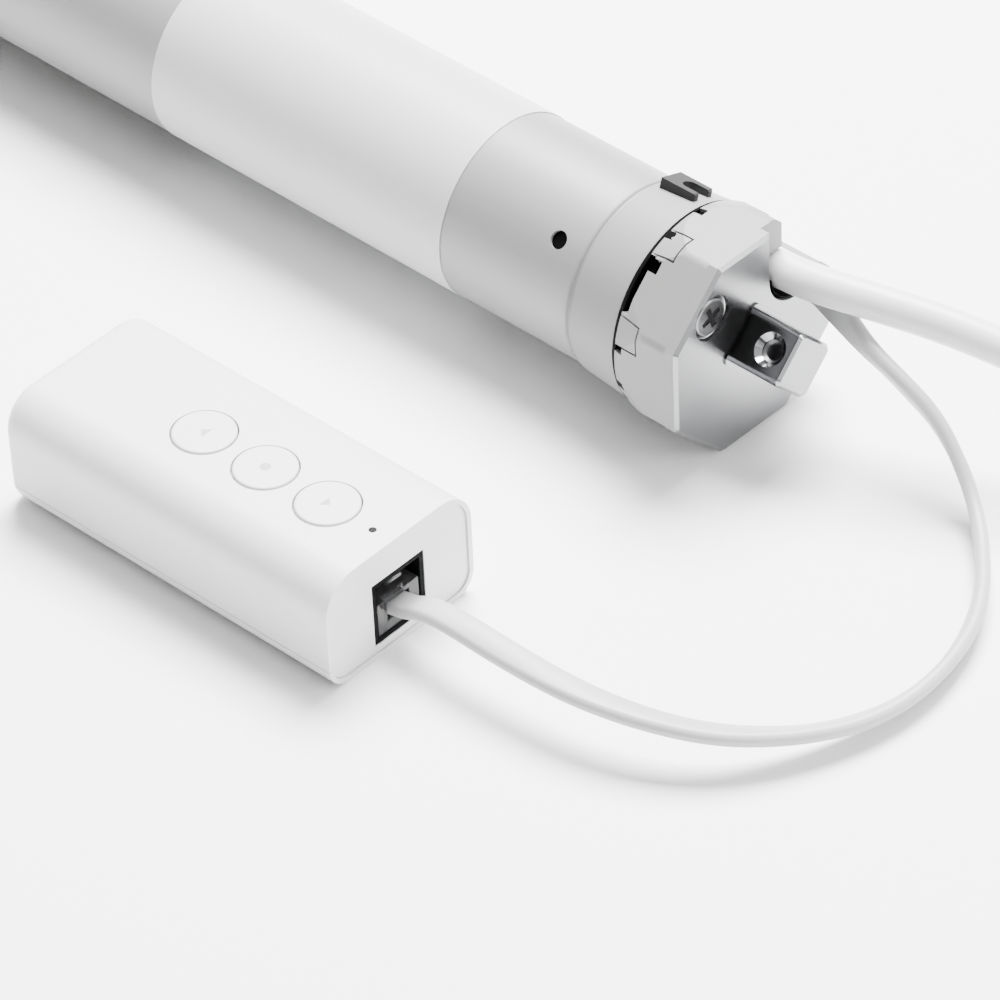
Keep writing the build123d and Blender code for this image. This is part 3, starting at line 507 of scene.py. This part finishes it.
# %% Route of the supply cable
POWER_DIAMETER = 6.5
POWER_START = (-8.0, 8.5, 9.1)
POWER_ROUTE = (
    (0.5, 8.5, 9.1),
    (7.5, 9.8, 9.1),
    (15.5, 12.3, 8.8),
    (27.8, 17.0, 7.3),
    (42.5, 22.5, 3.6),
    (56.0, 26.5, -2.2),
    (69.0, 29.5, -9.2),
    (83.0, 31.5, -14.9),
    (97.0, 32.0, -16.25),
)
COIL_LEAD = 10.0
COIL_RADIUS = 40.0
COIL_LAYERS = 4
COIL_HALF_TURNS = 2
COIL_PITCH = 7.0
POINTS_PER_HALF_TURN = 8


def coil_half_turns():
    """Pairs of radius and rise, one for each half turn."""
    step = COIL_PITCH / 2
    inward = [(COIL_RADIUS - step * i, 0.0) for i in range(COIL_HALF_TURNS)]
    turns = []
    for layer in range(COIL_LAYERS):
        winding_in = layer % 2 == 0
        turns += inward if winding_in else inward[::-1]
        if layer < COIL_LAYERS - 1:
            radius = COIL_RADIUS - step * COIL_HALF_TURNS if winding_in else COIL_RADIUS + step
            turns.append((radius, COIL_PITCH))
    return turns


def coil_points(start):
    """Points along the coil, from where the cable meets it to its free end."""
    x, y, z = start
    points = [(x, y, z)]
    x += POWER_DIAMETER
    heading = 1
    for radius, rise in coil_half_turns():
        for i in range(POINTS_PER_HALF_TURN):
            angle = pi * i / POINTS_PER_HALF_TURN
            lift = rise * (1 - cos(angle)) / 2
            across = heading * radius
            points.append((x + across * sin(angle), y + across * (1 - cos(angle)), z + lift))
        y += 2 * heading * radius
        z += rise
        heading = -heading
    points.append((x, y, z))
    points.append((x + heading * POWER_DIAMETER, y, z))
    return points


print("half turns in the coil:", len(coil_half_turns()))

# %% [markdown]
# The cable itself is one smooth curve with a round bevel. A NURBS curve passes close by its
# points and rounds every corner, so a few points are enough, and the bevel is a setting of
# the curve. The curve stands in for the plainer solids of the cable and its coil.

# %% Supply cable
def smooth_curve(name, points):
    """A NURBS curve that follows its points, given in millimetres from the head."""
    curve = bpy.data.curves.new(name, "CURVE")
    curve.dimensions = "3D"
    curve.resolution_u = 6
    spline = curve.splines.new("NURBS")
    spline.points.add(len(points) - 1)
    for slot, point in zip(spline.points, points):
        slot.co = (*from_head(*point), 1.0)
    spline.order_u = 3
    spline.use_endpoint_u = True
    obj = bpy.data.objects.new(name, curve)
    bpy.context.scene.collection.objects.link(obj)
    return obj


def supply_cable():
    """The round cable, from inside the head to the free end of its coil."""
    x, y, z = POWER_ROUTE[-1]
    coil_start = (x + COIL_LEAD, y, z)
    cable = smooth_curve("supply_cable", [POWER_START, *POWER_ROUTE, *coil_points(coil_start)])
    cable.data.bevel_depth = POWER_DIAMETER / 2 * MM
    cable.data.bevel_resolution = 6
    cable.data.use_fill_caps = True
    cable.data.materials.append(cable_vinyl)
    return cable


power = supply_cable()
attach(power, HOME_BODY)
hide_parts("power_cable", "power_cable_coil")
print("supply cable laid, points in its route:", len(power.data.splines[0].points))

# %% [markdown]
# The control cable is flat: two round cores side by side in one jacket. It leaves the motor
# on edge and enters the plug lying flat, so it also rolls over on its way. The tilts are pairs
# of a share of the length and an angle in degrees.

# %% Route of the control cable
FLAT_WIDTH = 5.2
FLAT_THICKNESS = 2.6
DATA_ROUTE = (
    (-8.0, 12.7, 5.9),
    (0.5, 12.7, 5.9),
    (9.0, 11.3, 3.7),
    (17.0, 9.1, 1.8),
    (25.0, 8.5, -0.8),
    (32.3, 8.9, -5.2),
    (38.4, 8.0, -11.2),
    (44.2, 4.9, -15.6),
    (51.0, -1.6, -16.9),
    (57.3, -9.2, -16.9),
    (62.2, -18.2, -16.9),
    (65.0, -29.0, -16.9),
    (64.8, -40.0, -16.8),
    (62.0, -49.8, -16.0),
    (57.2, -58.8, -14.4),
    (50.0, -67.3, -12.4),
    (40.0, -73.0, -10.8),
    (28.5, -76.0, -10.0),
    (15.5, -76.95, -9.4),
    (4.0, -77.1, -8.8),
    (-2.4, -77.2, -9.4),
    (-6.3, -77.27, -11.7),
    (-10.2, -77.34, -12.2),
)
DATA_TILT = (
    (0.0, 58.0),
    (0.06, 72.0),
    (0.15, 116.0),
    (0.24, 118.0),
    (0.36, 90.0),
    (0.47, 63.0),
    (0.6, 32.0),
    (0.7, 18.0),
    (0.85, -8.0),
    (0.93, 0.0),
    (1.0, 0.0),
)
print("points in the route:", len(DATA_ROUTE))

# %% [markdown]
# Several pieces are built from sections of their own: the same ring of points, set down again
# and again and joined side by side. Two helpers do what they all need. One joins two
# neighbouring sections, and the other turns the working mesh into an object.

# %% Helpers for meshes
def close_round(mesh, ring, after):
    """Joins two neighbouring sections of a swept piece with one face for each side."""
    for i in range(len(ring)):
        j = (i + 1) % len(ring)
        mesh.faces.new((ring[i], ring[j], after[j], after[i]))


def finished_mesh(mesh, name):
    """Turns the working mesh into an object with its faces the right way out."""
    bmesh.ops.recalc_face_normals(mesh, faces=mesh.faces)
    data = bpy.data.meshes.new(name)
    mesh.to_mesh(data)
    mesh.free()
    obj = bpy.data.objects.new(name, data)
    bpy.context.scene.collection.objects.link(obj)
    return obj


print("mesh helpers ready")

# %% [markdown]
# A bevelled curve is always round, so the flat cable is built by hand. Its centre line is read
# from a smooth curve, and a section with two lobes is carried along it and slowly rolled.

# %% Control cable
SECTION_STEPS = 12


def centre_line(curve):
    """The points of a curve without bevel, as a new mesh gives them."""
    mesh = bpy.data.meshes.new_from_object(curve)
    points = [vertex.co.copy() for vertex in mesh.vertices]
    bpy.data.meshes.remove(mesh)
    return points


def tilt_at(share):
    """The roll of the flat cable, in degrees, at a share of its length."""
    for (low, tilt), (high, next_tilt) in zip(DATA_TILT, DATA_TILT[1:]):
        if share <= high:
            blend = (share - low) / (high - low)
            smooth = blend * blend * (3 - 2 * blend)
            return tilt + (next_tilt - tilt) * smooth
    return DATA_TILT[-1][1]


def flat_section():
    """The outline of the two lobes, as pairs along the width and the thickness."""
    radius = FLAT_THICKNESS / 2 * MM
    offset = (FLAT_WIDTH - FLAT_THICKNESS) / 2 * MM
    outline = []
    for side, first in ((1, -70.0), (-1, 110.0)):
        for i in range(SECTION_STEPS):
            angle = radians(first + 140.0 * i / (SECTION_STEPS - 1))
            outline.append((side * offset + radius * cos(angle), radius * sin(angle)))
    return outline


def flat_cable():
    """The flat cable and the points of its centre line."""
    line = smooth_curve("control_cable_line", DATA_ROUTE)
    path = centre_line(line)
    bpy.data.objects.remove(line)
    outline = flat_section()
    mesh = bmesh.new()
    rings = []
    for i, point in enumerate(path):
        ahead = path[min(i + 1, len(path) - 1)]
        behind = path[max(i - 1, 0)]
        along = (ahead - behind).normalized()
        level = Vector((0, 0, 1)).cross(along).normalized()
        upright = along.cross(level)
        tilt = radians(tilt_at(i / (len(path) - 1)))
        wide = level * cos(tilt) + upright * sin(tilt)
        thick = along.cross(wide)
        rings.append([mesh.verts.new(point + wide * w + thick * t) for w, t in outline])
    for ring, after in zip(rings, rings[1:]):
        close_round(mesh, ring, after)
    mesh.faces.new(rings[0])
    mesh.faces.new(rings[-1])
    cable = finished_mesh(mesh, "control_cable")
    cable.data.shade_smooth()
    cable.data.materials.append(flat_vinyl_painted_shade)
    return cable, path


control, control_path = flat_cable()
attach(control, HOME_BODY)
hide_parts("data_cable")
print("control cable laid, sections:", len(control_path))

# %% [markdown]
# Small rings turn up all over the head: a thread in the stub, a black ring in the gap before the
# crown, which paints the shade in that gap, and a grey one behind it, a black band of painted shade in
# the long relief, black sectors of painted shade in the rim notches and a bright ring round each
# screw. All of them are turned from an outline, so one function makes them. An outline holds pairs of
# distance along the axis and radius, both in millimetres.

# %% Turned rings
def turned_ring(name, outline, middle, axis=(1, 0, 0), sector=(0.0, 360.0), steps=96):
    """A ring, or a sector of one, about an axis through a point measured from the head."""
    whole = sector[1] - sector[0] >= 360.0
    lie = Vector(axis).to_track_quat("X", "Z").to_matrix().to_4x4()
    place = Matrix.Translation(from_head(*middle)) @ lie
    mesh = bmesh.new()
    sections = []
    for i in range(steps if whole else steps + 1):
        angle = radians(sector[0] + (sector[1] - sector[0]) * i / steps)
        around = Vector((0, cos(angle), sin(angle)))
        points = [Vector((x, 0, 0)) + around * r for x, r in outline]
        sections.append([mesh.verts.new(place @ (point * MM)) for point in points])
    pairs = list(zip(sections, sections[1:]))
    if whole:
        pairs.append((sections[-1], sections[0]))
    for section, after in pairs:
        close_round(mesh, section, after)
    if not whole:
        mesh.faces.new(sections[0])
        mesh.faces.new(sections[-1])
    return finished_mesh(mesh, name)


def add_detail(obj, body, material):
    """Gives a small piece its finish and lets it ride on a body."""
    obj.data.materials.append(material)
    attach(obj, body)


print("ring maker ready")

# %% [markdown]
# The thread is a sleeve in the stub's cross hole, with a saw-tooth bore, because a thread this small
# only shows as fine bright lines. A ring lies in each of the two gaps that let the crown turn: the
# black one in front is painted shade, and the grey one behind has the head's own colour. The black
# sectors in the notches of the rim are painted shade, dark as deep shade makes them on the real head.

# %% Rings of the head
def thread_outline(reach, root, crest, pitch):
    """A sleeve with a saw-tooth bore, from one end of the reach to the other."""
    outline = [(reach, root), (-reach, root)]
    count = int(2 * reach / pitch)
    for i in range(count):
        start = -reach + i * 2 * reach / count
        outline.append((start, crest + 0.3))
        outline.append((start + reach / count, crest))
    return outline


HEAD_AXIS = (0.0, 0.0, 0.0)
STUB_HOLE = (6.6, 0.0, 0.0)
ACROSS_STUB = (0, -1, 1)
SCREW_PLACES = ((-10.3, 10.8), (10.3, -10.8))
RIM_REAR = -14.0
RIM_POCKETS = ((85.0, 18.6), (106.7, 19.37), (171.0, 18.6), (195.2, 19.37))
POCKET_HALF = 2.4
POCKET_END = -12.3
RELIEF_SECTOR = (119.6, 151.4)
CROWN_GAP_SHADE_OUTLINE = (
    (-14.4, 15.5),
    (-14.03, 15.5),
    (-14.03, 19.2),
    (-14.76, 19.05),
    (-14.76, 18.93),
    (-14.43, 18.93),
    (-14.43, 18.47),
)
REAR_GAP_RING_OUTLINE = ((-26.96, 15.5), (-26.59, 15.5), (-26.59, 17.62), (-26.96, 17.62))
RELIEF_SHADE_OUTLINE = ((RIM_REAR, 16.4), (-12.75, 16.4), (-12.75, 17.5), (RIM_REAR, 17.5))
SCREW_RING_OUTLINE = ((-1.79, 3.72), (-1.25, 3.72), (-0.85, 4.1), (-1.79, 4.1))


def notch_shade_outline(outer):
    """The section of a black sector of painted shade in one rim notch, up to an outer radius."""
    inner = outer - 1.2
    return ((RIM_REAR, inner), (POCKET_END, inner), (POCKET_END, outer + 0.4), (RIM_REAR, outer))


sleeve = thread_outline(reach=3.7, root=1.98, crest=1.5, pitch=0.75)
add_detail(turned_ring("stub_thread", sleeve, STUB_HOLE, ACROSS_STUB, steps=40), HOME_BODY, bore_metal)
# A black ring paints the shade in the gap before the crown.
add_detail(turned_ring("crown_gap_shade", CROWN_GAP_SHADE_OUTLINE, HEAD_AXIS), HOME_BODY, black_plastic)
add_detail(turned_ring("rear_gap_ring", REAR_GAP_RING_OUTLINE, HEAD_AXIS), HOME_BODY, head_plastic)
# A black band paints the shade in the long relief.
relief_shade_band = turned_ring("relief_shade", RELIEF_SHADE_OUTLINE, HEAD_AXIS, sector=RELIEF_SECTOR, steps=24)
add_detail(relief_shade_band, HOME_BODY, black_plastic)
# Black sectors paint the shade in the notches of the rim.
for number, (angle, outer) in enumerate(RIM_POCKETS, start=1):
    sector = (angle - POCKET_HALF, angle + POCKET_HALF)
    outline = notch_shade_outline(outer)
    notch_shade_piece = turned_ring(f"rim_notch_shade_{number}", outline, HEAD_AXIS, sector=sector, steps=4)
    add_detail(notch_shade_piece, HOME_BODY, black_plastic)
for number, (y, z) in enumerate(SCREW_PLACES, start=1):
    ring = turned_ring(f"screw_washer_{number}", SCREW_RING_OUTLINE, (0, y, z), steps=48)
    add_detail(ring, HOME_BODY, alloy)
print("rings turned")

# %% [markdown]
# Other small details are flat plates cut to an outline: the pale signs on the buttons, a dark plate of
# painted shade at the bottom of the two screw crosses and a filler in the groove round each snap tab.
# A sign lies on its button's top and goes down with its own button.

# %% Flat plates
def flat_plate(name, outline, thickness, place):
    """A thin plate on the XY plane of a place's frame, from its outline in millimetres."""
    mesh = bmesh.new()
    low = [mesh.verts.new(place @ (Vector((x, y, 0)) * MM)) for x, y in outline]
    high = [mesh.verts.new(place @ (Vector((x, y, thickness)) * MM)) for x, y in outline]
    mesh.faces.new(low)
    mesh.faces.new(high)
    close_round(mesh, low, high)
    return finished_mesh(mesh, name)


def frame_facing(out, x, y, z):
    """A frame at a point measured from the head, with its Z axis pointing out."""
    return Matrix.Translation(from_head(x, y, z)) @ out.to_track_quat("Z", "Y").to_matrix().to_4x4()


def round_outline(radius, count=28):
    """Points round a circle."""
    turns = [2 * pi * i / count for i in range(count)]
    return [(radius * cos(turn), radius * sin(turn)) for turn in turns]


def cross_outline(length, width):
    """The twelve corners of an upright cross, three for each quarter."""
    a, b = length / 2, width / 2
    quarter = ((a, -b), (a, b), (b, b))
    corners = []
    for _ in range(4):
        corners += quarter
        quarter = [(-y, x) for x, y in quarter]
    return corners


print("plate maker ready")

# %% [markdown]
# The signs are pale grey prints on the buttons. A plate almost as thin as ink does as well as an image
# would, and its edge stays sharp from any distance. A dark plate paints the shade in each screw cross,
# and the filler leaves only a thin line of the groove round each tab.

# %% Signs, painted shade in the screw crosses and tab fillers
BOX_TURN = 0.9
CROSS_TURN = 20.0
CROSS_FLOOR = -1.39
CROSS_DEPTH = 0.92
SIGN_THICKNESS = 0.03
ARROW = ((0.75, -0.1), (-0.7, 1.2), (-0.7, -1.25))
TAB_ANGLES = (111.5, 161.5)
TAB_GROOVE_FLOOR = 18.88
TAB_FILLING = 0.26
TAB_OUTLINE = (
    (0.02, -2.78),
    (5.18, -2.78),
    (5.18, 2.78),
    (0.02, 2.78),
    (0.02, 2.47),
    (4.87, 2.47),
    (4.87, -2.47),
    (0.02, -2.47),
)


def button_top(node):
    """A frame on the top of a button, with its X axis along the box."""
    low, high = (Vector(corner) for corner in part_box(node))
    top = Vector(((low.x + high.x) / 2, (low.y + high.y) / 2, high.z - 0.01 * MM))
    return Matrix.Translation(top) @ Matrix.Rotation(radians(BOX_TURN), 4, "Z")


SIGNS = (
    ("sign_forward", ARROW, "button_up", "key_up"),
    ("sign_stop", round_outline(0.95), "button_stop", "key_stop"),
    ("sign_back", [(-x, y) for x, y in ARROW], "button_down", "key_down"),
)
for name, outline, node, body in SIGNS:
    add_detail(flat_plate(name, outline, SIGN_THICKNESS, button_top(node)), body, sign_ink)
screw_turn = Matrix.Rotation(radians(CROSS_TURN), 4, "Z")
# A dark plate at the bottom of each screw cross paints the shade in its recess.
for number, (y, z) in enumerate(SCREW_PLACES, start=1):
    face = frame_facing(Vector((1, 0, 0)), CROSS_FLOOR, y, z) @ screw_turn
    shade_plate = flat_plate(f"cross_shade_{number}", cross_outline(4.3, 1.04), CROSS_DEPTH, face)
    add_detail(shade_plate, HOME_BODY, crevice_shade)
for number, angle in enumerate(TAB_ANGLES, start=1):
    out = Vector((0, cos(radians(angle)), sin(radians(angle))))
    groove = frame_facing(out, RIM_REAR, out.y * TAB_GROOVE_FLOOR, out.z * TAB_GROOVE_FLOOR)
    filler = flat_plate(f"tab_filler_{number}", TAB_OUTLINE, TAB_FILLING, groove)
    add_detail(filler, HOME_BODY, head_plastic)
print("plates cut")

# %% [markdown]
# The plastic head comes up round the face plate, so that only the plate's bevel shows. The skirt is a
# band along the flats of the octagon, left open where the cables come out. There a second band, black,
# is painted shade along the rounded bottom of the recess, and a grey sill carries on from it to the
# side.

# %% Skirt, painted recess shade and sill
HALF_FLATS = 19.5
RECESS_EDGE = (4.6, 3.8)
SKIRT_REACH = (-0.62, -2.48)
RECESS_SHADE_REACH = (-0.1, -7.6)
RECESS_SHADE_MIDDLE = (10.5, 9.7)
RECESS_SHADE_END = 13.0
SILL_REACH = (-0.1, -2.6)
SILL_HEIGHTS = (3.72, 3.8)


def octagon_line(half):
    """Points round the octagon, from the top edge of the open corner round to its side."""
    corner_radius = half / cos(pi / 8)
    turns = [pi * (5 + 2 * i) / 8 for i in range(6)]
    corners = [(corner_radius * cos(turn), corner_radius * sin(turn)) for turn in turns]
    return [(RECESS_EDGE[0], half), *corners, (half, RECESS_EDGE[1])]


def recess_shade_line(radius):
    """Points down the rounded corner of the recess and along its bottom."""
    turns = [pi + pi / 2 * i / 12 for i in range(13)]
    y, z = RECESS_SHADE_MIDDLE
    arc = [(y + radius * cos(turn), z + radius * sin(turn)) for turn in turns]
    return [*arc, (RECESS_SHADE_END, z - radius)]


def band(name, reach, outer, inner):
    """A thin band between two lines of points, with a reach from its front to its back."""
    front, back = reach
    mesh = bmesh.new()
    rings = []
    for (y, z), (inner_y, inner_z) in zip(outer, inner):
        corners = ((front, y, z), (back, y, z), (back, inner_y, inner_z), (front, inner_y, inner_z))
        rings.append([mesh.verts.new(from_head(*corner)) for corner in corners])
    for ring, after in zip(rings, rings[1:]):
        close_round(mesh, ring, after)
    mesh.faces.new(rings[0])
    mesh.faces.new(rings[-1])
    return finished_mesh(mesh, name)


skirt_outside = octagon_line(HALF_FLATS + 0.02)
skirt_inside = octagon_line(HALF_FLATS - 0.2)
skirt = band("plate_skirt", SKIRT_REACH, skirt_outside, skirt_inside)
add_detail(skirt, HOME_BODY, head_plastic)
# A black band paints the shade at the rounded bottom of the recess.
recess_shade_band = band("recess_shade", RECESS_SHADE_REACH, recess_shade_line(5.98), recess_shade_line(5.9))
add_detail(recess_shade_band, HOME_BODY, black_plastic)
sill_low, sill_high = (((RECESS_SHADE_END + 0.1, z), (HALF_FLATS - 0.05, z)) for z in SILL_HEIGHTS)
add_detail(band("recess_sill", SILL_REACH, sill_low, sill_high), HOME_BODY, head_plastic)
print("bands added: skirt, liner and sill")

# %% [markdown]
# The studio is white all round. It starts with a pale floor that runs far past the picture.

# %% Floor
FLOOR_SIDE = 6.0


def pale_floor():
    """A square card under everything, almost white."""
    mesh = bpy.data.meshes.new("floor")
    half = FLOOR_SIDE / 2
    corners = [(-half, -half, 0), (half, -half, 0), (half, half, 0), (-half, half, 0)]
    mesh.from_pydata(corners, [], [(0, 1, 2, 3)])
    finish = Finish("floor_card")
    shade = speckle(finish, 400.0)
    mesh.materials.append(
        finish.surface(
            {
                "Base Color": drifting_colour(finish, (0.93, 0.93, 0.93), 0.005, shade),
                "Roughness": 0.6,
                "Specular IOR Level": 0.2,
            }
        )
    )
    floor = bpy.data.objects.new("floor", mesh)
    bpy.context.scene.collection.objects.link(floor)
    return floor


pale_floor()
print("floor side in metres:", FLOOR_SIDE)

# %% [markdown]
# The light is a bright sky, a large light overhead that gives the pale shadows and a weak
# one at the right. Soft dark patches hang in the sky, because polished metal only looks like
# metal when it has something dark to show. The sky is also darker low down than overhead,
# and one bright patch lights the end of the stub.

# %% Light
SKY_STRENGTH = 1.7
BRIGHT_GAIN = 3.0
BRIGHT_PATCH = ((0.85, -0.40, 0.34), ((0.94, 0.0), (0.985, 1.0)))
DARK_PATCHES = (
    ((0.54, -0.60, 0.60), ((0.90, 1.0), (0.97, 0.02))),
    ((-0.54, -0.65, 0.54), ((0.87, 1.0), (0.965, 0.10))),
    ((0.0, 0.0, 1.0), ((0.0, 0.35), (0.75, 1.0))),
    ((0.05, -0.98, 0.15), ((0.25, 1.0), (0.85, 0.10))),
)


def patch_in_sky(tree, direction, centre, stops):
    """A factor over the sky, read from the stops by how squarely one looks at the patch."""
    facing = tree.nodes.new("ShaderNodeVectorMath")
    facing.operation = "DOT_PRODUCT"
    facing.inputs[1].default_value = Vector(centre).normalized()
    tree.links.new(direction, facing.inputs[0])
    ramp = tree.nodes.new("ShaderNodeValToRGB")
    set_stops(ramp.color_ramp, stops)
    tree.links.new(facing.outputs["Value"], ramp.inputs["Fac"])
    return Value(tree, ramp.outputs["Color"])


def studio_sky():
    """A bright sky with its patches, set as the world."""
    world = bpy.data.worlds.new("studio")
    world.use_nodes = True
    tree = world.node_tree
    background = tree.nodes["Background"]
    direction = tree.nodes.new("ShaderNodeTexCoord").outputs["Generated"]
    light = patch_in_sky(tree, direction, *BRIGHT_PATCH) * BRIGHT_GAIN + 1.0
    for patch in DARK_PATCHES:
        light = light * patch_in_sky(tree, direction, *patch)
    plug_in(tree, background.inputs["Color"], light)
    background.inputs["Strength"].default_value = SKY_STRENGTH
    bpy.context.scene.world = world


def soft_box(name, place, target, size, power):
    """A square area light that faces a target."""
    light = bpy.data.lights.new(name, "AREA")
    light.shape = "SQUARE"
    light.size = size
    light.energy = power
    lamp = bpy.data.objects.new(name, light)
    aim = from_head(*target) - from_head(*place)
    turn = aim.to_track_quat("-Z", "Y").to_matrix().to_4x4()
    lamp.matrix_world = Matrix.Translation(from_head(*place)) @ turn
    bpy.context.scene.collection.objects.link(lamp)
    return lamp


studio_sky()
soft_box("overhead", (-300.0, 500.0, 1100.0), (0.0, -20.0, -19.0), size=0.7, power=120.0)
soft_box("right_side", (900.0, 500.0, 500.0), (0.0, 0.0, 0.0), size=0.6, power=10.0)
